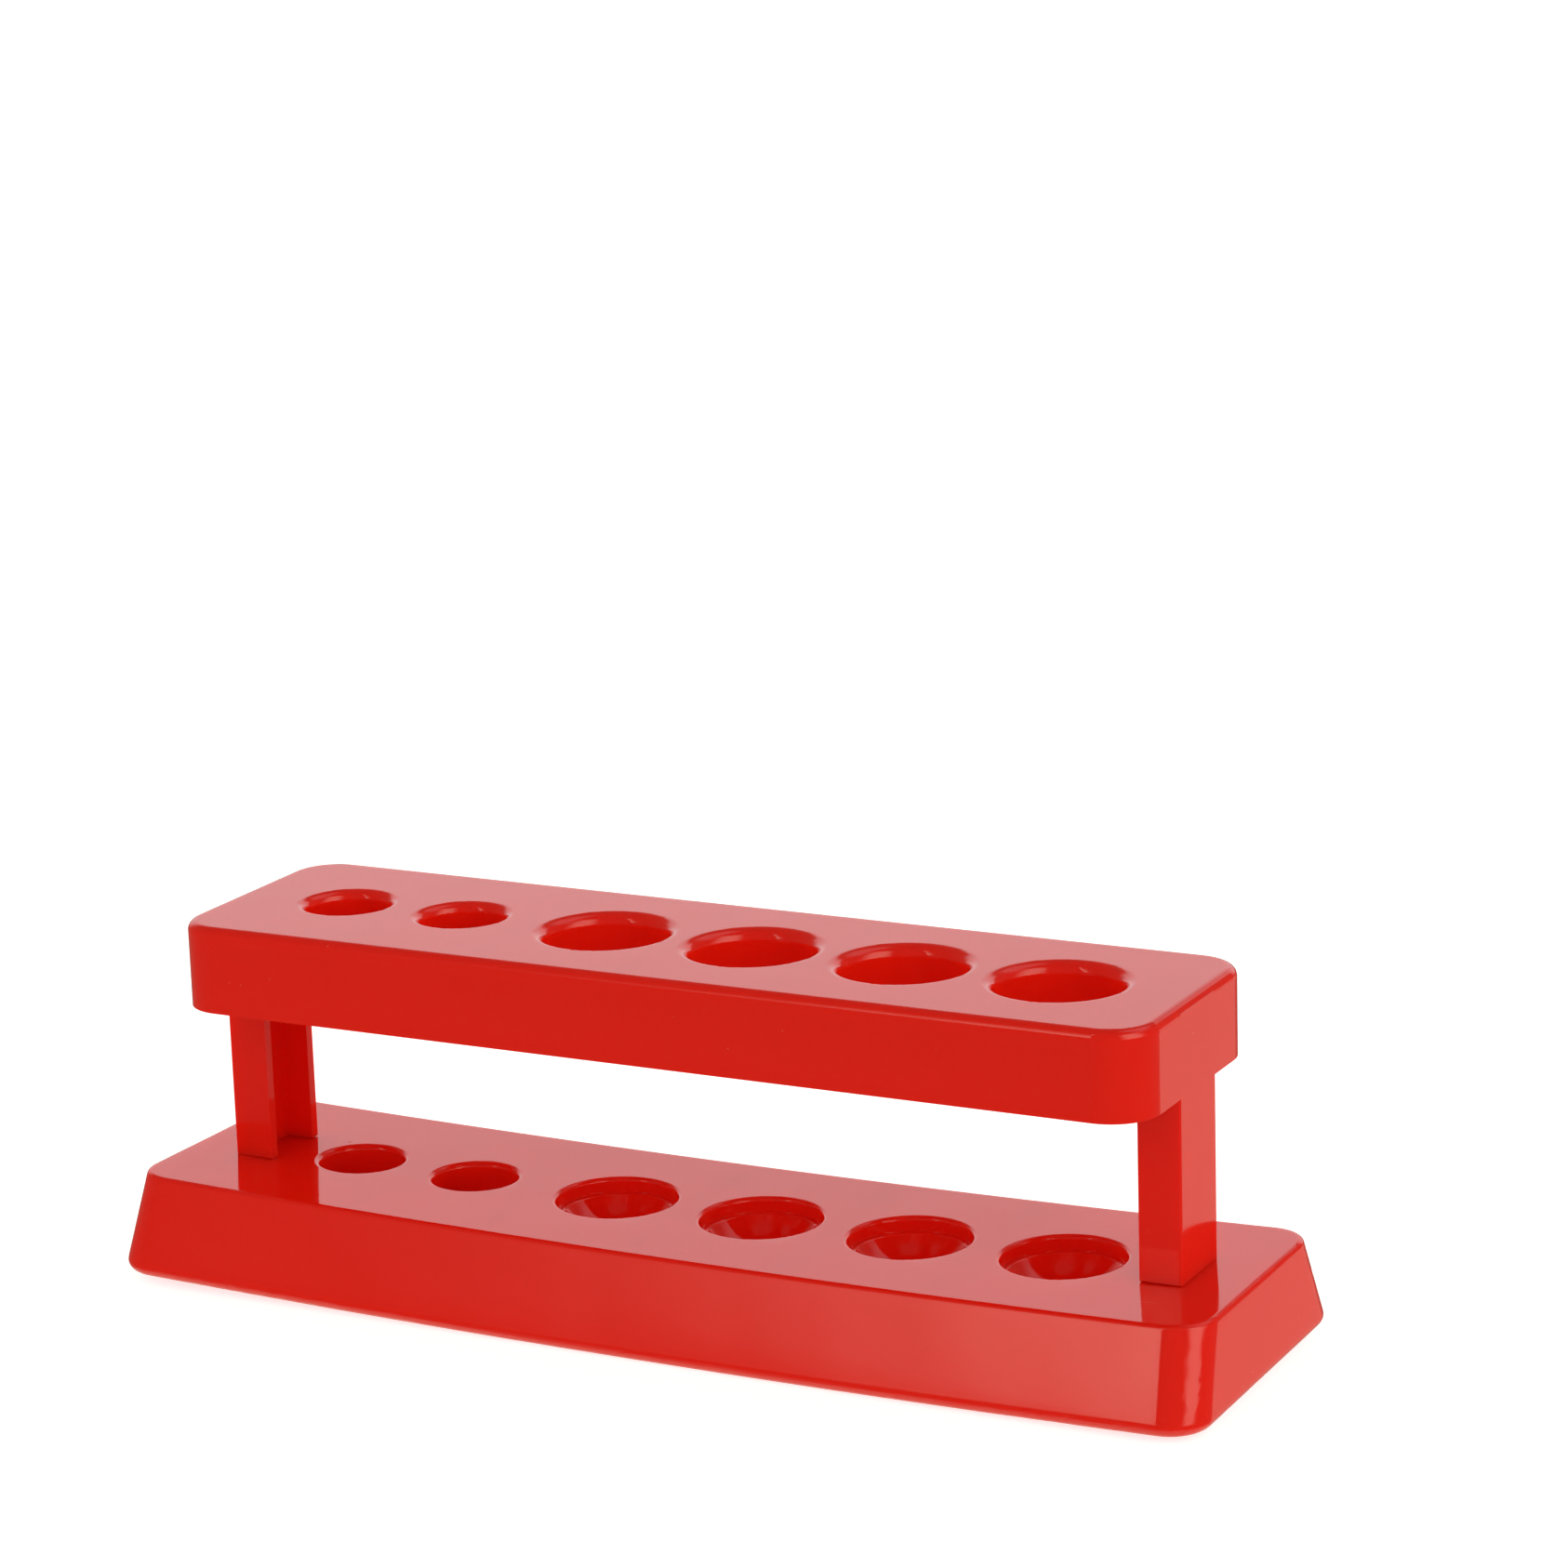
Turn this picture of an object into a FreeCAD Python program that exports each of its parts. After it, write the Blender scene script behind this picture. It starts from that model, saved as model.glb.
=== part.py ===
import FreeCAD, Part
import math
import os

# Single-row test tube rack made of two glossy plastic mouldings.
#   base       a flared, hollow plinth with a well under every tube and a socket at each end
#   top_frame  a skirted deck with a sleeved hole for every tube, on two channel-section posts
#              whose tongues push down into the base's sockets
# Frame: millimetres, X along the row, Y from front to back, +Z up, origin under the middle of
# the base on the surface that it stands on.

# Tube places along the row: two narrow tubes at the left, four wide ones beside them.
FIRST_NARROW_X = -80.1
NARROW_PITCH = 26.9
NARROW_TO_WIDE = 32.95
WIDE_PITCH = 32.45
NARROW_COUNT = 2
WIDE_COUNT = 4

# Base.
BASE_HEIGHT = 19.3
BASE_TOP_LENGTH = 234.2
BASE_TOP_WIDTH = 57.1
END_FLARE = 1.6
SIDE_FLARE = 7.75
BASE_CORNER = 8.0
BASE_TOP_ROUND = 1.2
BASE_FOOT_ROUND = 2.0
BASE_PLATE = 2.4
BASE_END_WALL = 3.0
BASE_SIDE_WALL = 3.4
BASE_RIB = 1.8
BASE_RIB_FOOT_GAP = 3.0

# Wells in the base.
NARROW_WELL_RADIUS = 8.6
NARROW_WELL_ROUND = 1.2
NARROW_WELL_WALL = 7.0
WIDE_WELL_RADIUS = 12.15
WIDE_WELL_ROUND = 0.9
WIDE_LEDGE_DEPTH = 3.0
WIDE_LEDGE_RADIUS = 11.6
WIDE_LEDGE_ROUND = 0.9
WIDE_BOWL_RADIUS = 14.0
CUP_WALL = 1.95

# Deck.
TIER_GAP = 37.7
DECK_LENGTH = 210.0
DECK_WIDTH = 54.9
DECK_HEIGHT = 17.55
DECK_CORNER = 9.5
DECK_TOP_ROUND = 2.0
DECK_PLATE = 2.4
DECK_SKIRT = 2.4
NARROW_HOLE_RADIUS = 8.4
NARROW_HOLE_ROUND = 2.1
WIDE_HOLE_RADIUS = 12.2
WIDE_HOLE_ROUND = 2.5
SLEEVE_WALL = 1.9
SLEEVE_FOOT_ROUND = 0.5
DECK_RIB = 1.6
DECK_SPINE_DEPTH = 12.0
DECK_CROSS_RIB_DEPTH = 9.0

# Posts and the push fit that holds them.
POST_DEPTH = 8.65
POST_WIDTH = 17.3
POST_WEB = 2.8
POST_FLANGE = 2.1
POST_EDGE_ROUND = 0.45
POST_FOOT_CHAMFER = 0.25
TONGUE_INSET = 0.8
TONGUE_LENGTH = 13.5
TONGUE_LEAD_IN = 0.5
SOCKET_CLEARANCE = 0.15
SOCKET_WALL = 1.8
SOCKET_FOOT_GAP = 2.5

# Round marks that the ejector pins leave under both plates.
PIN_MARK_RADIUS = 2.5
PIN_MARK_DEPTH = 0.3

OVERRUN = 1.0
DECK_UNDERSIDE = BASE_HEIGHT + TIER_GAP
DECK_TOP = DECK_UNDERSIDE + DECK_HEIGHT
AXIS = FreeCAD.Vector(0, 0, 1)


def vec(x, y, z):
    return FreeCAD.Vector(x, y, z)


def tube_places():
    """The X of every narrow tube and of every wide tube."""
    narrow = [FIRST_NARROW_X + i * NARROW_PITCH for i in range(NARROW_COUNT)]
    first_wide = narrow[-1] + NARROW_TO_WIDE
    wide = [first_wide + i * WIDE_PITCH for i in range(WIDE_COUNT)]
    return narrow, wide


def gaps_between_tubes():
    """The X halfway between each tube and the next."""
    narrow, wide = tube_places()
    places = narrow + wide
    return [(a + b) / 2 for a, b in zip(places, places[1:])]


def arc(centre_x, centre_z, radius, start, end):
    """An arc in the XZ plane; angles in degrees from +X towards +Z."""
    points = []
    for angle in (start, (start + end) / 2, end):
        turn = math.radians(angle)
        points.append(vec(centre_x + radius * math.cos(turn), 0, centre_z + radius * math.sin(turn)))
    return Part.Arc(*points).toShape()


def turned(edges_or_points, x):
    """Revolves a closed half-outline, given as XZ points and arcs in order, about the axis at x."""
    edges = []
    last = None
    first = None
    for item in edges_or_points:
        start = vec(item[0], 0, item[1]) if isinstance(item, tuple) else item.firstVertex(True).Point
        if first is None:
            first = start
        if last is not None and last.distanceToPoint(start) > 1e-7:
            edges.append(Part.LineSegment(last, start).toShape())
        if isinstance(item, tuple):
            last = start
        else:
            edges.append(item)
            last = item.lastVertex(True).Point
    edges.append(Part.LineSegment(last, first).toShape())
    face = Part.Face(Part.Wire(edges))
    solid = face.revolve(vec(0, 0, 0), AXIS, 360)
    solid.translate(vec(x, 0, 0))
    return solid


def rounded_outline(length, width, radius, z):
    """A rectangle with round corners, centred on the Z axis."""
    half_x = length / 2
    half_y = width / 2
    edges = []
    corners = [(1, 1, 0), (-1, 1, 90), (-1, -1, 180), (1, -1, 270)]
    arcs = []
    for side_x, side_y, start in corners:
        centre_x = side_x * (half_x - radius)
        centre_y = side_y * (half_y - radius)
        points = []
        for angle in (start, start + 45, start + 90):
            turn = math.radians(angle)
            points.append(vec(centre_x + radius * math.cos(turn), centre_y + radius * math.sin(turn), z))
        arcs.append(Part.Arc(*points).toShape())
    for this, following in zip(arcs, arcs[1:] + arcs[:1]):
        edges.append(this)
        side = Part.LineSegment(this.lastVertex(True).Point, following.firstVertex(True).Point)
        edges.append(side.toShape())
    return Part.Wire(edges)


def rounded_block(length, width, radius, low, high):
    face = Part.Face(rounded_outline(length, width, radius, low))
    return face.extrude(vec(0, 0, high - low))


def flared_block(foot, head, radius, low, high):
    """A block whose straight sides lean from the foot (length, width) in to the head."""
    outlines = [rounded_outline(*foot, radius, low), rounded_outline(*head, radius, high)]
    return Part.makeLoft(outlines, True, True)


def box(x0, x1, y0, y1, z0, z1):
    low_x, high_x = sorted((x0, x1))
    return Part.makeBox(high_x - low_x, y1 - y0, z1 - z0, vec(low_x, y0, z0))


def edges_at(solid, z):
    """The edges that lie wholly at one height."""
    return [e for e in solid.Edges if abs(e.BoundBox.ZMin - z) < 1e-4 and abs(e.BoundBox.ZMax - z) < 1e-4]


def pin_marks(plate_underside, rows):
    """Shallow round recesses in a plate's underside, between the tubes."""
    marks = []
    for x in gaps_between_tubes():
        for y in rows:
            mark = Part.makeCylinder(PIN_MARK_RADIUS, PIN_MARK_DEPTH, vec(x, y, plate_underside))
            marks.append(mark)
    return marks


def post_block(side, inset, low, high):
    """The upright block that holds one post, drawn in by the inset on every side."""
    outer_x = side * (DECK_LENGTH / 2 - inset)
    inner_x = side * (DECK_LENGTH / 2 - POST_DEPTH + inset)
    half = POST_WIDTH / 2 - inset
    return box(outer_x, inner_x, -half, half, low, high)


def recess_block(side, inset, reach, low, high):
    """The space between a post's flanges, drawn in by the inset and reaching in past the flange ends."""
    web_x = side * (DECK_LENGTH / 2 - POST_WEB - inset)
    inner_x = side * (DECK_LENGTH / 2 - POST_DEPTH - reach)
    half = POST_WIDTH / 2 - POST_FLANGE - inset
    return box(web_x, inner_x, -half, half, low, high)


def channel(side, inset, slack, low, high):
    """A U section at one end of the rack, open towards the middle.

    The inset thins it from outside, and the slack thickens it into the recess.
    """
    recess = recess_block(side, slack, OVERRUN, low - OVERRUN, high + OVERRUN)
    return post_block(side, inset, low, high).cut(recess)


def bowl_slope():
    """The steepness of a wide well's bowl where it runs smoothly into the ledge's round, in degrees."""
    return math.degrees(math.asin(WIDE_LEDGE_RADIUS / (WIDE_BOWL_RADIUS + WIDE_LEDGE_ROUND)))


def bowl_centre():
    """The height of the middle of the ball that a wide well's bowl is part of."""
    rise = (WIDE_BOWL_RADIUS + WIDE_LEDGE_ROUND) * math.cos(math.radians(bowl_slope()))
    return BASE_HEIGHT - WIDE_LEDGE_DEPTH - WIDE_LEDGE_ROUND + rise


def wide_well(x):
    """The space of a wide well: a short straight wall, a round-edged ledge and a shallow bowl."""
    ledge = BASE_HEIGHT - WIDE_LEDGE_DEPTH
    slope = bowl_slope()
    outline = [
        (0, BASE_HEIGHT + OVERRUN),
        (WIDE_WELL_RADIUS + WIDE_WELL_ROUND, BASE_HEIGHT + OVERRUN),
        arc(WIDE_WELL_RADIUS + WIDE_WELL_ROUND, BASE_HEIGHT - WIDE_WELL_ROUND, WIDE_WELL_ROUND, 90, 180),
        (WIDE_WELL_RADIUS, ledge),
        arc(WIDE_LEDGE_RADIUS, ledge - WIDE_LEDGE_ROUND, WIDE_LEDGE_ROUND, 90, 90 + slope),
        arc(0, bowl_centre(), WIDE_BOWL_RADIUS, slope - 90, -90),
    ]
    return turned(outline, x)


def narrow_well(x):
    """The space of a narrow well: a deeper straight wall and a hemispherical bottom."""
    radius = NARROW_WELL_RADIUS
    outline = [
        (0, BASE_HEIGHT + OVERRUN),
        (radius + NARROW_WELL_ROUND, BASE_HEIGHT + OVERRUN),
        arc(radius + NARROW_WELL_ROUND, BASE_HEIGHT - NARROW_WELL_ROUND, NARROW_WELL_ROUND, 90, 180),
        arc(0, BASE_HEIGHT - NARROW_WELL_WALL, radius, 0, -90),
    ]
    return turned(outline, x)


def cup(x, radius, centre):
    """The outside of a well where it hangs under the base's plate.

    It is part of a ball, with a straight wall above it where the ball's centre is below the plate.
    """
    top = BASE_HEIGHT - BASE_PLATE / 2
    start = -math.degrees(math.asin(max(centre - top, 0) / radius))
    mouth = radius * math.cos(math.radians(start))
    return turned([(0, top), (mouth, top), arc(0, centre, radius, start, -90)], x)


def base_shell():
    """The flared plinth, hollow from below."""
    foot = (BASE_TOP_LENGTH + 2 * END_FLARE, BASE_TOP_WIDTH + 2 * SIDE_FLARE)
    head = (BASE_TOP_LENGTH, BASE_TOP_WIDTH)
    shell = flared_block(foot, head, BASE_CORNER, 0, BASE_HEIGHT)
    shell = shell.makeFillet(BASE_FOOT_ROUND, edges_at(shell, 0))
    shell = shell.makeFillet(BASE_TOP_ROUND, edges_at(shell, BASE_HEIGHT))
    ceiling = BASE_HEIGHT - BASE_PLATE
    lean = ceiling / BASE_HEIGHT
    below = -OVERRUN / BASE_HEIGHT
    inner = []
    for share in (below, lean):
        inner.append((
            foot[0] - 2 * END_FLARE * share - 2 * BASE_END_WALL,
            foot[1] - 2 * SIDE_FLARE * share - 2 * BASE_SIDE_WALL,
        ))
    cavity = flared_block(inner[0], inner[1], BASE_CORNER - BASE_END_WALL, -OVERRUN, ceiling)
    return shell.cut(cavity), cavity


def collar(side, ceiling):
    """The thick-walled guide for one tongue under the base's plate, cored out between its walls."""
    block = post_block(side, TONGUE_INSET - SOCKET_CLEARANCE - SOCKET_WALL, SOCKET_FOOT_GAP, ceiling)
    core_top = BASE_HEIGHT - BASE_PLATE
    core = recess_block(side, SOCKET_CLEARANCE + SOCKET_WALL, -TONGUE_INSET, -OVERRUN, core_top)
    return block.cut(core)


def socket(side):
    """The U-shaped slot through plate and collar that a tongue slides in."""
    inset = TONGUE_INSET - SOCKET_CLEARANCE
    return channel(side, inset, SOCKET_CLEARANCE, -OVERRUN, BASE_HEIGHT + OVERRUN)


def make_base():
    shell, cavity = base_shell()
    narrow, wide = tube_places()
    ceiling = BASE_HEIGHT - BASE_PLATE / 2
    half_length = BASE_TOP_LENGTH / 2 + END_FLARE
    half_width = BASE_TOP_WIDTH / 2 + SIDE_FLARE

    ribs = [box(-half_length, half_length, -BASE_RIB / 2, BASE_RIB / 2, BASE_RIB_FOOT_GAP, ceiling)]
    for x in gaps_between_tubes():
        left = x - BASE_RIB / 2
        ribs.append(box(left, left + BASE_RIB, -half_width, half_width, BASE_RIB_FOOT_GAP, ceiling))
    inside = [rib.common(cavity) for rib in ribs]
    plates = [rib.common(shell) for rib in ribs]

    cups = [cup(x, NARROW_WELL_RADIUS + CUP_WALL, BASE_HEIGHT - NARROW_WELL_WALL) for x in narrow]
    cups += [cup(x, WIDE_BOWL_RADIUS + CUP_WALL, bowl_centre()) for x in wide]
    collars = [collar(side, ceiling) for side in (-1, 1)]

    solid = shell.multiFuse(inside + plates + cups + collars)
    wells = [narrow_well(x) for x in narrow] + [wide_well(x) for x in wide]
    slots = [socket(side) for side in (-1, 1)]
    row = BASE_TOP_WIDTH / 2 - BASE_SIDE_WALL - 2 * PIN_MARK_RADIUS
    marks = pin_marks(BASE_HEIGHT - BASE_PLATE, (-row, row))
    return solid.cut(wells + slots + marks).removeSplitter()


def deck_hole(x, radius, rim):
    """The space of a tube hole through the deck, with a wide round at its rim and a small one below."""
    foot = radius + SLEEVE_FOOT_ROUND
    outline = [
        (0, DECK_TOP + OVERRUN),
        (radius + rim, DECK_TOP + OVERRUN),
        arc(radius + rim, DECK_TOP - rim, rim, 90, 180),
        arc(foot, DECK_UNDERSIDE + SLEEVE_FOOT_ROUND, SLEEVE_FOOT_ROUND, 180, 270),
        (foot, DECK_UNDERSIDE - OVERRUN),
        (0, DECK_UNDERSIDE - OVERRUN),
    ]
    return turned(outline, x)


def deck_shell():
    """The deck's plate and skirt, hollow from below."""
    shell = rounded_block(DECK_LENGTH, DECK_WIDTH, DECK_CORNER, DECK_UNDERSIDE, DECK_TOP)
    shell = shell.makeFillet(DECK_TOP_ROUND, edges_at(shell, DECK_TOP))
    cavity = rounded_block(
        DECK_LENGTH - 2 * DECK_SKIRT,
        DECK_WIDTH - 2 * DECK_SKIRT,
        DECK_CORNER - DECK_SKIRT,
        DECK_UNDERSIDE - OVERRUN,
        DECK_TOP - DECK_PLATE,
    )
    return shell.cut(cavity)


def post(side):
    """One channel post with round outer edges, from the deck's plate down to its foot on the base."""
    section = channel(side, 0, 0, BASE_HEIGHT, DECK_TOP - DECK_PLATE / 2)
    face_x = side * DECK_LENGTH / 2
    half = POST_WIDTH / 2
    corners = []
    for edge in section.Edges:
        middle = edge.CenterOfMass
        upright = edge.BoundBox.ZLength > TIER_GAP
        if upright and abs(middle.x - face_x) < 1e-4 and abs(abs(middle.y) - half) < 1e-4:
            corners.append(edge)
    section = section.makeFillet(POST_EDGE_ROUND, corners)
    inner_x = side * (DECK_LENGTH / 2 - POST_DEPTH)
    foot = []
    for edge in edges_at(section, BASE_HEIGHT):
        middle = edge.CenterOfMass
        outside = abs(middle.y) > half - POST_EDGE_ROUND or abs(middle.x - face_x) < POST_EDGE_ROUND
        if outside and abs(middle.x - inner_x) > 1e-4:
            foot.append(edge)
    return section.makeChamfer(POST_FOOT_CHAMFER, foot)


def tongue(side):
    """The thinner end of a post that goes down into its socket."""
    tip = BASE_HEIGHT - TONGUE_LENGTH
    body = channel(side, TONGUE_INSET, 0, tip, BASE_HEIGHT + OVERRUN)
    outer_x = side * (DECK_LENGTH / 2 - TONGUE_INSET)
    half = POST_WIDTH / 2 - TONGUE_INSET
    lead = []
    for edge in edges_at(body, tip):
        middle = edge.CenterOfMass
        if abs(middle.x - outer_x) < 1e-4 or abs(abs(middle.y) - half) < 1e-4:
            lead.append(edge)
    return body.makeChamfer(TONGUE_LEAD_IN, lead)


def make_top_frame():
    narrow, wide = tube_places()
    plate = DECK_TOP - DECK_PLATE / 2
    sleeves = []
    holes = []
    kinds = (
        (narrow, NARROW_HOLE_RADIUS, NARROW_HOLE_ROUND),
        (wide, WIDE_HOLE_RADIUS, WIDE_HOLE_ROUND),
    )
    for places, radius, rim in kinds:
        for x in places:
            foot = vec(x, 0, DECK_UNDERSIDE)
            sleeves.append(Part.makeCylinder(radius + SLEEVE_WALL, plate - DECK_UNDERSIDE, foot))
            holes.append(deck_hole(x, radius, rim))

    spine_end = DECK_LENGTH / 2 - POST_WEB / 2
    ribs = [box(-spine_end, spine_end, -DECK_RIB / 2, DECK_RIB / 2, DECK_TOP - DECK_SPINE_DEPTH, plate)]
    rib_end = DECK_WIDTH / 2 - DECK_SKIRT / 2
    rib_foot = DECK_TOP - DECK_CROSS_RIB_DEPTH
    for x in gaps_between_tubes():
        ribs.append(box(x - DECK_RIB / 2, x + DECK_RIB / 2, -rib_end, rib_end, rib_foot, plate))

    posts = [post(side) for side in (-1, 1)]
    tongues = [tongue(side) for side in (-1, 1)]
    solid = deck_shell().multiFuse(sleeves + ribs + posts + tongues)
    row = DECK_WIDTH / 2 - DECK_SKIRT - 2 * PIN_MARK_RADIUS
    marks = pin_marks(DECK_TOP - DECK_PLATE, (-row, row))
    return solid.cut(holes + marks).removeSplitter()


def export(name, shape):
    """Writes one moulding, after checking that it is a single sound solid."""
    solids = shape.Solids
    assert shape.isValid() and len(solids) == 1, name
    solids[0].exportStep(os.path.join("parts", name + ".step"))
    box_now = solids[0].BoundBox
    print(name, "volume", round(solids[0].Volume), "mm3, size",
          round(box_now.XLength, 2), round(box_now.YLength, 2), round(box_now.ZLength, 2))


os.makedirs("parts", exist_ok=True)
export("base", make_base())
export("top_frame", make_top_frame())
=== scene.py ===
import math

import bmesh
import bpy
from mathutils import Matrix, Vector


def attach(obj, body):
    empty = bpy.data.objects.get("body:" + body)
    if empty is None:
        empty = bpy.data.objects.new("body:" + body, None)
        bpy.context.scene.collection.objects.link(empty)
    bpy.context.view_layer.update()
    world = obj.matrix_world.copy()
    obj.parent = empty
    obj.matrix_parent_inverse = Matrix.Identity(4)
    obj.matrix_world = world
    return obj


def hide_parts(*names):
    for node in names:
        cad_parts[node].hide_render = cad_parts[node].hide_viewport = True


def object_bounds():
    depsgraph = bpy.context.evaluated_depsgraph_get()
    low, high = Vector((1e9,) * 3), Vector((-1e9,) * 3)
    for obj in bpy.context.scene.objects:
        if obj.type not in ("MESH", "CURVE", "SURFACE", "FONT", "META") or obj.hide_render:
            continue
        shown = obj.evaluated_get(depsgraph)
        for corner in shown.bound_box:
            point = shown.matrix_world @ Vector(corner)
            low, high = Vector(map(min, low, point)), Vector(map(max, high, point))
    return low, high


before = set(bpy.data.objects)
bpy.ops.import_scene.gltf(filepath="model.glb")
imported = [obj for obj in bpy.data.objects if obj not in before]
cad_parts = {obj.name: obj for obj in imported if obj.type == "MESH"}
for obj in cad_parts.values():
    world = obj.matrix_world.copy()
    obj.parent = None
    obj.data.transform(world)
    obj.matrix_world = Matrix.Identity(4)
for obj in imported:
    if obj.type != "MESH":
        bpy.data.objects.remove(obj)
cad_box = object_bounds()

# A glossy red test tube rack in a white studio. Everything is in metres, in the frame of the CAD
# model: X along the row, Y from front to back, Z up from the surface that the rack stands on.

# Camera. Its angles are in degrees, and its lens and sensor in millimetres.
CAMERA_AT = (0.42733, -0.77707, 0.32408)
CAMERA_AZIMUTH = 27.644
CAMERA_ELEVATION = 13.855
CAMERA_ROLL = -1.848
CAMERA_LENS = 108.54
CAMERA_SENSOR = 36.0

# Shape of the real mouldings: the base bows up towards its ends and is slightly twisted, and the
# posts stand on the raised ends. The bow is reached at BOW_REACH from the middle, and the twist at
# BOW_REACH along and TWIST_REACH across. The base is cut at every BOW_STEP so that it can bend.
BOW = 0.00125
TWIST = 0.0003
BOW_REACH = 0.105
TWIST_REACH = 0.0315
BOW_STEP = 0.008
SHARP_ANGLE = 35
# The posts' heights at their top and foot, and how far they stand from the middle.
POST_TOP = 0.057
POST_FOOT = 0.0193
POST_PLACE = 0.1007

# Plastic. A scale is the number of cells or waves in a metre. A choice is the step that picks the
# few cells with a mark, and an edge is where the mark fades, as a share of its cell.
RED = (0.86, 0.012, 0.004, 1)
DEEP_RED = (0.81, 0.009, 0.003, 1)
WORN_RED = (0.88, 0.16, 0.11, 1)
WORN_SHARE = 0.6
BARE_ROUGHNESS = 0.06
HAZE_ROUGHNESS = 0.035
WORN_ROUGHNESS = 0.3
SPECK_SCALE = 95.0
SPECK_CHOICE = (0.80, 0.82)
SPECK_EDGE = (0.030, 0.048)
SCRATCH_SCALE = (34.0, 520.0, 520.0)
SCRATCH_TURN = (0.3, 0.5, 0.9)
SCRATCH_CHOICE = (0.93, 0.94)
SCRATCH_EDGE = (0.06, 0.16)
SCRATCH_GROUPS = (0.53, 0.62)
SCRATCH_STRENGTH = 0.5
WAVE_HEIGHT = 0.0001
NICK_HEIGHT = 0.00004
REFRACTION = 1.5
GLOW_WEIGHT = 0.45
GLOW_RADIUS = (1.0, 0.08, 0.04)
GLOW_DEPTH = 0.008

# Studio.
FLOOR_RADIUS = 30.0
FLOOR_SIDES = 64
FLOOR_GREY = (0.8, 0.8, 0.8, 1)
FLOOR_GLOW = 0.72
SKY = 0.72
CARD_DISTANCE = 6.0
ROOM_DISTANCE = 12.0
ROOM_LIGHT = 0.16
WHITE = (1, 1, 1, 1)
WARM = (1, 0.96, 0.80, 1)


def look(azimuth, elevation, roll, place):
    """A matrix that looks from a place, azimuth 0 being along +Y, with the picture turned by the roll."""
    turn = math.radians(azimuth)
    rise = math.radians(elevation)
    back = Vector((math.sin(turn) * math.cos(rise), -math.cos(turn) * math.cos(rise), math.sin(rise)))
    right = Vector((0, 0, 1)).cross(back).normalized()
    up = back.cross(right)
    facing = Matrix((right, up, back)).transposed()
    facing = facing @ Matrix.Rotation(math.radians(roll), 3, "Z")
    return Matrix.Translation(place) @ facing.to_4x4()


def show(name, data):
    """Adds an object with this data to the scene."""
    added = bpy.data.objects.new(name, data)
    bpy.context.scene.collection.objects.link(added)
    return added


def add_camera():
    data = bpy.data.cameras.new("camera")
    data.lens = CAMERA_LENS
    data.sensor_width = CAMERA_SENSOR
    data.clip_start = 0.01
    data.clip_end = 100.0
    camera = show("camera", data)
    camera.matrix_world = look(CAMERA_AZIMUTH, CAMERA_ELEVATION, CAMERA_ROLL, CAMERA_AT)
    bpy.context.scene.camera = camera


class Web:
    """A material's node tree, with short ways to add the nodes that are used here."""

    def __init__(self, name):
        self.material = bpy.data.materials.new(name)
        self.material.use_nodes = True
        self.nodes = self.material.node_tree.nodes
        self.links = self.material.node_tree.links
        self.shader = self.nodes["Principled BSDF"]

    def feed(self, socket, value):
        """Links an output to a socket, or sets the socket to a plain value."""
        if isinstance(value, bpy.types.NodeSocket):
            self.links.new(value, socket)
        else:
            socket.default_value = value

    def math(self, operation, first, second=0.0):
        node = self.nodes.new("ShaderNodeMath")
        node.operation = operation
        self.feed(node.inputs[0], first)
        self.feed(node.inputs[1], second)
        return node.outputs[0]

    def ramp(self, value, low, high, to_low=0.0, to_high=1.0):
        """A smooth step from to_low at low to to_high at high."""
        node = self.nodes.new("ShaderNodeMapRange")
        node.interpolation_type = "SMOOTHSTEP"
        self.feed(node.inputs["Value"], value)
        for socket, number in zip(("From Min", "From Max", "To Min", "To Max"), (low, high, to_low, to_high)):
            node.inputs[socket].default_value = number
        return node.outputs["Result"]

    def stretched(self, place, scale, turn):
        node = self.nodes.new("ShaderNodeMapping")
        self.feed(node.inputs["Vector"], place)
        node.inputs["Rotation"].default_value = turn
        node.inputs["Scale"].default_value = scale
        return node.outputs["Vector"]

    def noise(self, place, scale, detail=2.0):
        node = self.nodes.new("ShaderNodeTexNoise")
        self.feed(node.inputs["Vector"], place)
        node.inputs["Scale"].default_value = scale
        node.inputs["Detail"].default_value = detail
        return node.outputs["Fac"]

    def cells(self, place, scale):
        """The distance from the middle of each cell, and a number that belongs to the cell."""
        node = self.nodes.new("ShaderNodeTexVoronoi")
        self.feed(node.inputs["Vector"], place)
        node.inputs["Scale"].default_value = scale
        number = self.nodes.new("ShaderNodeSeparateColor")
        self.links.new(node.outputs["Color"], number.inputs["Color"])
        return node.outputs["Distance"], number.outputs["Red"]

    def mixed(self, share, first, second):
        node = self.nodes.new("ShaderNodeMix")
        node.data_type = "RGBA"
        self.feed(node.inputs["Factor"], share)
        self.feed(node.inputs["A"], first)
        self.feed(node.inputs["B"], second)
        return node.outputs["Result"]

    def bump(self, height, distance, strength, after=None):
        node = self.nodes.new("ShaderNodeBump")
        self.feed(node.inputs["Height"], height)
        node.inputs["Distance"].default_value = distance
        node.inputs["Strength"].default_value = strength
        if after is not None:
            self.links.new(after, node.inputs["Normal"])
        return node.outputs["Normal"]


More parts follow.
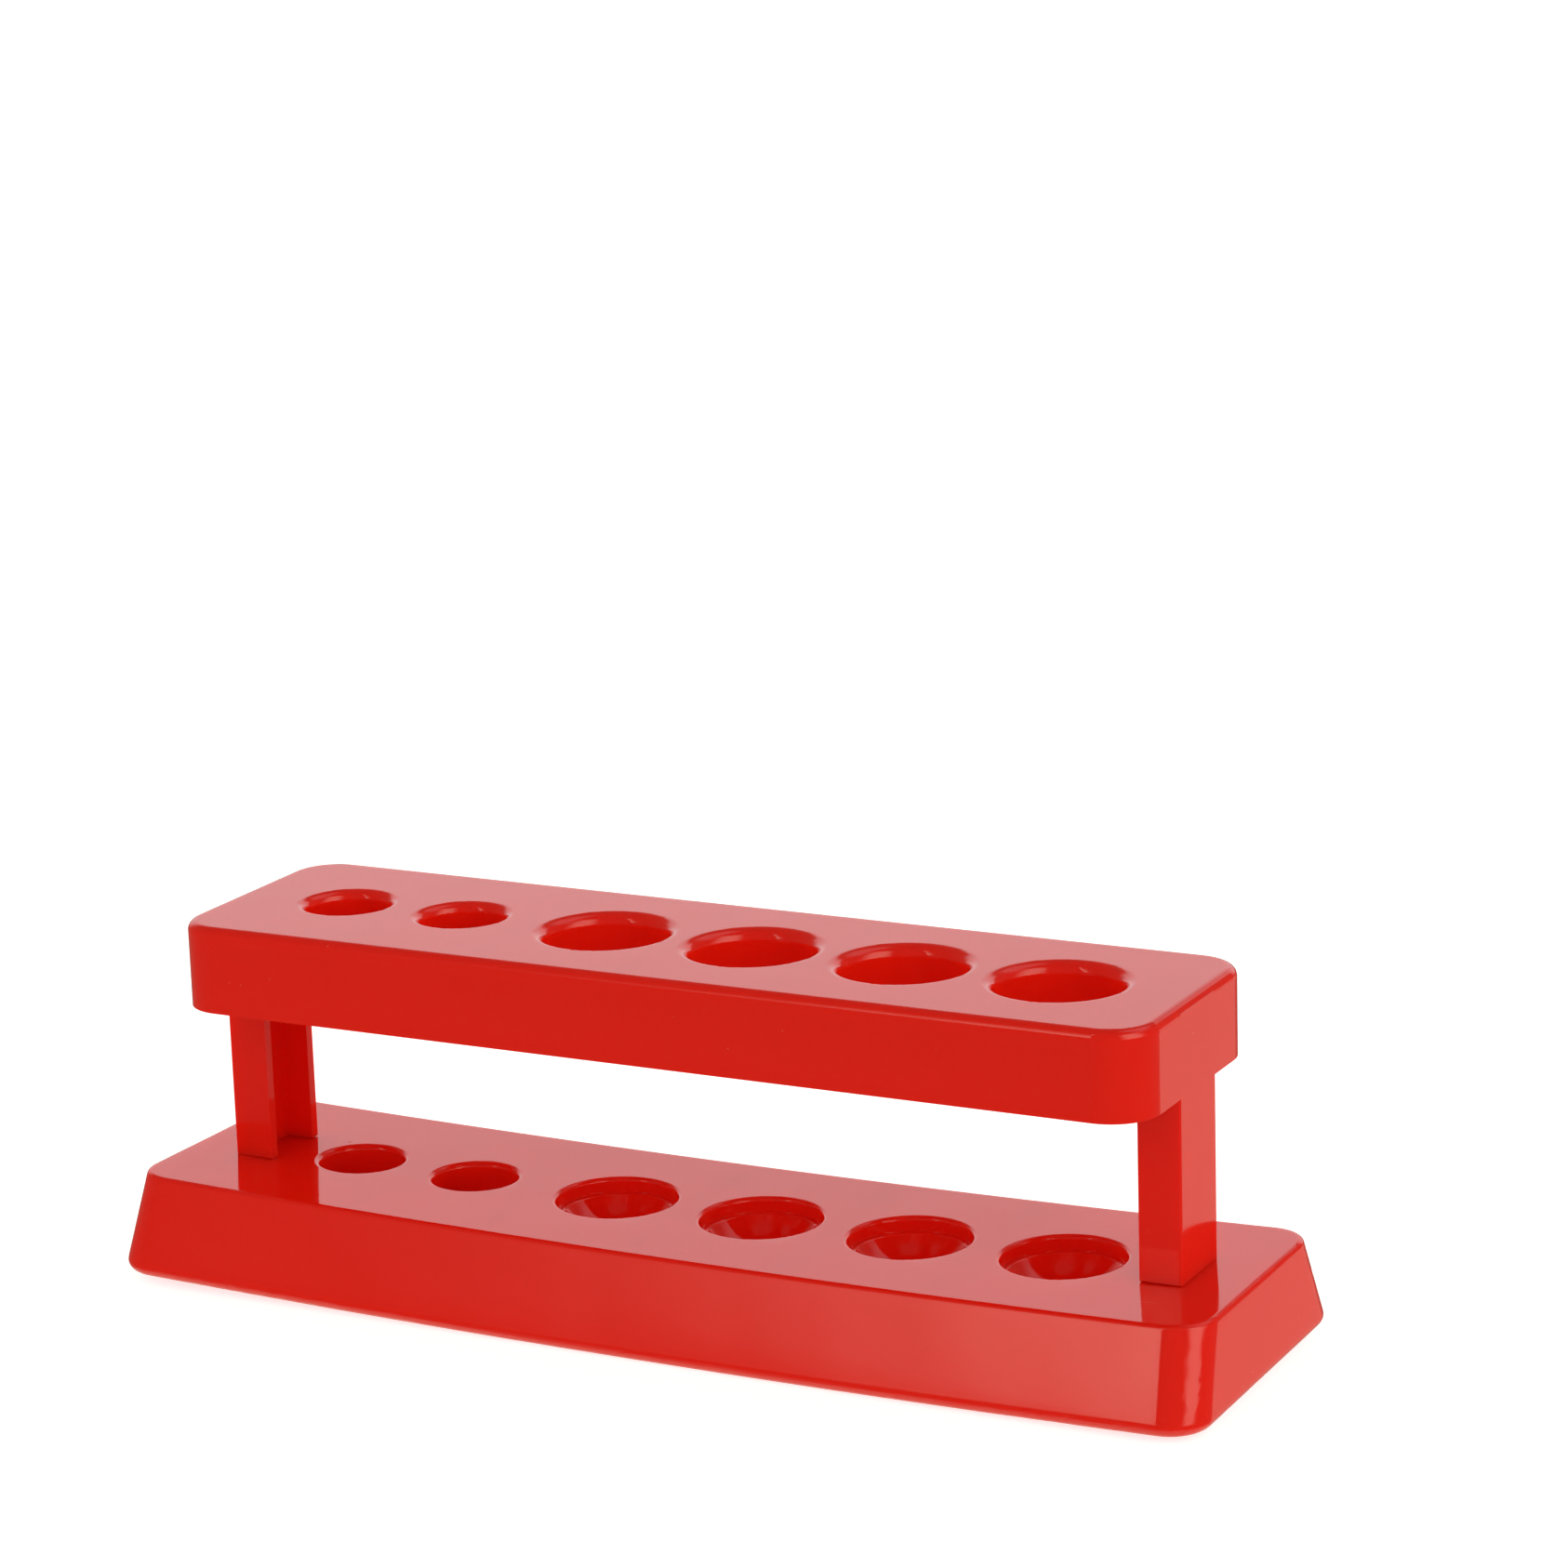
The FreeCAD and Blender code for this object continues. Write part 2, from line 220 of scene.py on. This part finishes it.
def plastic(name, offset):
    """Polished red plastic with a few nicks and hairline scratches."""
    web = Web(name)
    coordinates = web.nodes.new("ShaderNodeTexCoord")
    place = web.stretched(coordinates.outputs["Object"], (1, 1, 1), (0.2, 0.1, offset))

    distance, number = web.cells(place, SPECK_SCALE)
    chosen = web.ramp(number, *SPECK_CHOICE)
    speck = web.math("MULTIPLY", web.ramp(distance, *SPECK_EDGE, 1.0, 0.0), chosen)

    along = web.stretched(place, SCRATCH_SCALE, SCRATCH_TURN)
    distance, number = web.cells(along, 1.0)
    picked = web.ramp(number, *SCRATCH_CHOICE)
    chosen = web.math("MULTIPLY", picked, web.ramp(web.noise(place, 28.0), *SCRATCH_GROUPS))
    scratch = web.math("MULTIPLY", web.ramp(distance, *SCRATCH_EDGE, SCRATCH_STRENGTH, 0.0), chosen)
    wear = web.math("MAXIMUM", speck, scratch)

    mottle = web.ramp(web.noise(place, 55.0, 3.0), 0.3, 0.7, 0.97, 1.0)
    body = web.mixed(mottle, DEEP_RED, RED)
    worn = web.math("MULTIPLY", wear, WORN_SHARE)
    web.feed(web.shader.inputs["Base Color"], web.mixed(worn, body, WORN_RED))

    haze = web.ramp(web.noise(place, 22.0, 4.0), 0.35, 0.75, 0.0, HAZE_ROUGHNESS)
    bare = web.math("ADD", haze, BARE_ROUGHNESS)
    roughness = web.math("ADD", bare, web.math("MULTIPLY", wear, WORN_ROUGHNESS))
    web.feed(web.shader.inputs["Roughness"], roughness)
    web.shader.inputs["IOR"].default_value = REFRACTION
    web.shader.inputs["Subsurface Weight"].default_value = GLOW_WEIGHT
    web.shader.inputs["Subsurface Radius"].default_value = GLOW_RADIUS
    web.shader.inputs["Subsurface Scale"].default_value = GLOW_DEPTH

    waves = web.bump(web.noise(place, 38.0, 1.0), WAVE_HEIGHT, 1.0)
    nicks = web.bump(wear, NICK_HEIGHT, 0.5, waves)
    web.feed(web.shader.inputs["Normal"], nicks)
    return web.material


def bow(x, y):
    """How far this place on the base stands up above its middle."""
    return BOW * (x / BOW_REACH) ** 2 + TWIST * (x / BOW_REACH) * (y / TWIST_REACH)


def add_base():
    """The base's moulding, cut into short lengths so that it can follow the bow."""
    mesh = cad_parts["base"].data.copy()
    mesh.name = "base_moulding"
    work = bmesh.new()
    work.from_mesh(mesh)
    bmesh.ops.remove_doubles(work, verts=work.verts, dist=1e-7)
    count = int(cad_box[1][0] / BOW_STEP)
    for i in range(-count, count + 1):
        everything = work.verts[:] + work.edges[:] + work.faces[:]
        cut = (i * BOW_STEP, 0, 0)
        bmesh.ops.bisect_plane(work, geom=everything, dist=1e-6, plane_co=cut, plane_no=(1, 0, 0))
    for vertex in work.verts:
        vertex.co.z += bow(vertex.co.x, vertex.co.y)
    work.to_mesh(mesh)
    work.free()
    normals = mesh.attributes.get("custom_normal")
    if normals is not None:
        mesh.attributes.remove(normals)
    mesh.shade_smooth()
    mesh.set_sharp_from_angle(angle=math.radians(SHARP_ANGLE))
    moulding = show("base_moulding", mesh)
    evened = moulding.modifiers.new("evened", "WEIGHTED_NORMAL")
    evened.keep_sharp = True
    return moulding


def add_frame():
    """The top frame's moulding, with its posts' feet on the raised ends of the base."""
    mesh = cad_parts["top_frame"].data.copy()
    mesh.name = "frame_moulding"
    lift = bow(POST_PLACE, 0)
    for vertex in mesh.vertices:
        share = (POST_TOP - vertex.co.z) / (POST_TOP - POST_FOOT)
        vertex.co.z += lift * min(max(share, 0), 1)
    return show("frame_moulding", mesh)


def add_floor():
    web = Web("floor")
    web.shader.inputs["Base Color"].default_value = FLOOR_GREY
    web.shader.inputs["Roughness"].default_value = 0.9
    web.shader.inputs["Emission Color"].default_value = WHITE
    web.shader.inputs["Emission Strength"].default_value = FLOOR_GLOW
    mesh = bpy.data.meshes.new("floor")
    ring = []
    for i in range(FLOOR_SIDES):
        turn = i * math.tau / FLOOR_SIDES
        ring.append((FLOOR_RADIUS * math.cos(turn), FLOOR_RADIUS * math.sin(turn), 0))
    mesh.from_pydata(ring, [], [range(FLOOR_SIDES)])
    mesh.materials.append(web.material)
    floor = show("floor", mesh)
    floor.visible_glossy = False
    floor.visible_diffuse = False
    floor.visible_shadow = False


def add_world():
    world = bpy.data.worlds.new("studio")
    bpy.context.scene.world = world
    world.use_nodes = True
    world.node_tree.nodes["Background"].inputs["Color"].default_value = WHITE
    world.node_tree.nodes["Background"].inputs["Strength"].default_value = SKY
    world.cycles_visibility.glossy = False


def shell_mesh(name, distance, azimuths, elevations):
    """Part of a sphere about the origin. Azimuth 0 is +Y and 90 is -X, in degrees."""
    columns = max(2, int(abs(azimuths[1] - azimuths[0]) / 5) + 1)
    rows = max(2, int(abs(elevations[1] - elevations[0]) / 5) + 1)
    places = []
    for row in range(rows + 1):
        rise = math.radians(elevations[0] + (elevations[1] - elevations[0]) * row / rows)
        for column in range(columns + 1):
            turn = math.radians(azimuths[0] + (azimuths[1] - azimuths[0]) * column / columns)
            level = distance * math.cos(rise)
            places.append((-level * math.sin(turn), level * math.cos(turn), distance * math.sin(rise)))
    faces = []
    shares = []
    for row in range(rows):
        for column in range(columns):
            corners = ((column, row), (column + 1, row), (column + 1, row + 1), (column, row + 1))
            faces.append([c + r * (columns + 1) for c, r in corners])
            shares += [(c / columns, r / rows) for c, r in corners]
    mesh = bpy.data.meshes.new(name)
    mesh.from_pydata(places, [], faces)
    layer = mesh.uv_layers.new(name="share")
    for corner, share in zip(layer.data, shares):
        corner.uv = share
    return mesh


def add_card(
    name, distance, azimuths, elevations, light, fades=(0, 0, 0, 0), power=1.0, rays=("glossy",), tint=WARM
):
    """A glowing card that only these kinds of ray see.

    The fades are how much of it fades out at its left, right, foot and top, and the power is how steeply.
    """
    left, right, low, high = fades
    web = Web(name)
    web.nodes.remove(web.shader)
    glow = web.nodes.new("ShaderNodeEmission")
    glow.inputs["Color"].default_value = tint
    glow.inputs["Strength"].default_value = light
    clear = web.nodes.new("ShaderNodeBsdfTransparent")
    parts = web.nodes.new("ShaderNodeSeparateXYZ")
    web.links.new(web.nodes.new("ShaderNodeUVMap").outputs["UV"], parts.inputs["Vector"])
    share = 1.0
    for value, start, end in (
        (parts.outputs["X"], 0.0, left),
        (parts.outputs["X"], 1.0, 1.0 - right),
        (parts.outputs["Y"], 0.0, low),
        (parts.outputs["Y"], 1.0, 1.0 - high),
    ):
        if start != end:
            share = web.math("MULTIPLY", share, web.ramp(value, start, end))
    if power != 1.0:
        share = web.math("POWER", share, power)
    blend = web.nodes.new("ShaderNodeMixShader")
    web.feed(blend.inputs["Fac"], share)
    web.links.new(clear.outputs["BSDF"], blend.inputs[1])
    web.links.new(glow.outputs["Emission"], blend.inputs[2])
    web.links.new(blend.outputs["Shader"], web.nodes["Material Output"].inputs["Surface"])
    mesh = shell_mesh(name, distance, azimuths, elevations)
    mesh.materials.append(web.material)
    card = show(name, mesh)
    card.visible_camera = "camera" in rays
    card.visible_diffuse = "diffuse" in rays
    card.visible_glossy = "glossy" in rays
    card.visible_shadow = False


def add_cards():
    """The white background, what the glossy plastic mirrors, two tall softboxes and a light from behind."""
    both = ("glossy", "diffuse")
    far = CARD_DISTANCE
    add_card("background", ROOM_DISTANCE + 2, (-180, 180), (-1, 89.9), 1.05, rays=("camera",), tint=WHITE)
    add_card("room", ROOM_DISTANCE, (-180, 180), (-89.9, 89.9), ROOM_LIGHT)
    add_card("backdrop", far, (-20, 75), (0, 33), 1.05, (0.12, 0.25, 0.12, 0.25), tint=WHITE)
    add_card("sky_right", far - 0.1, (-80, 10), (33, 85), 0.8, (0.3, 0.3, 0.3, 0.3), tint=WHITE)
    add_card("floor_right", far, (-36, -8), (-32, -1), 0.62, (0.3, 0.3, 0.3, 0.1))
    add_card("floor_near", far - 0.1, (-180, 180), (-89.9, -18), 1.0, (0, 0, 0, 0.4))
    add_card("softbox_left", far - 0.2, (136, 159), (12, 60), 4.8, (1.25, 0, 0.17, 0.2), 3.0, both)
    add_card("softbox_right", far - 0.3, (-138, -66), (4, 60), 2.2, (0.3, 0.45, 0.1, 0.2), 1.0, both)
    add_card("back_light", far, (-35, 110), (0, 35), 1.7, rays=("diffuse",))
    add_card("ceiling", far - 0.4, (-180, 180), (45, 89.9), 0.1, rays=("diffuse",))


add_camera()
base = add_base()
base.data.materials[0] = plastic("base_plastic", 0.0)
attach(base, "base")
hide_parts("base")
top = add_frame()
top.data.materials[0] = plastic("frame_plastic", 2.0)
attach(top, "top_frame")
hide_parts("top_frame")
add_floor()
add_world()
add_cards()
bpy.context.scene.view_settings.view_transform = "Standard"
